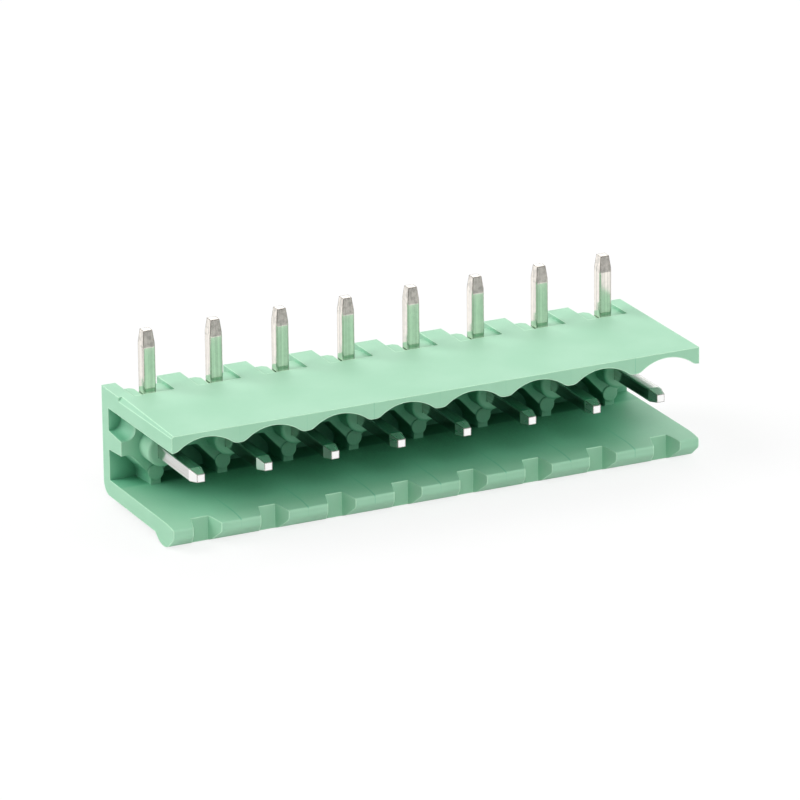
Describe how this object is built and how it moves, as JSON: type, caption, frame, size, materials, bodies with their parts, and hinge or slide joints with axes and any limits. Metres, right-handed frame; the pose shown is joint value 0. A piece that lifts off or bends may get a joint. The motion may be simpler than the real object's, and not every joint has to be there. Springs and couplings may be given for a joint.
{
  "type": "pluggable terminal block header",
  "caption": "Right-angle board header of a pluggable terminal block: an open-ended moulded shell with a row of bent square pins that a wire-side plug slides onto.",
  "frame": {"origin": "middle of the footprint, on the lowest line of the bead under the lip", "axes": "+X along the row of pins, -Y out of the mouth that takes the plug, +Z out of the face that lies on the circuit board, along the solder tails"},
  "size_m": [0.0406, 0.012, 0.0128],
  "materials": {
    "housing": "satin moulded",
    "pins": "bright tin plated"
  },
  "bodies": {
    "root": {"housing": "housing", "pin_1": "pins", "pin_2": "pins", "pin_3": "pins", "pin_4": "pins", "pin_5": "pins", "pin_6": "pins", "pin_7": "pins", "pin_8": "pins"}
  },
  "joints": []
}
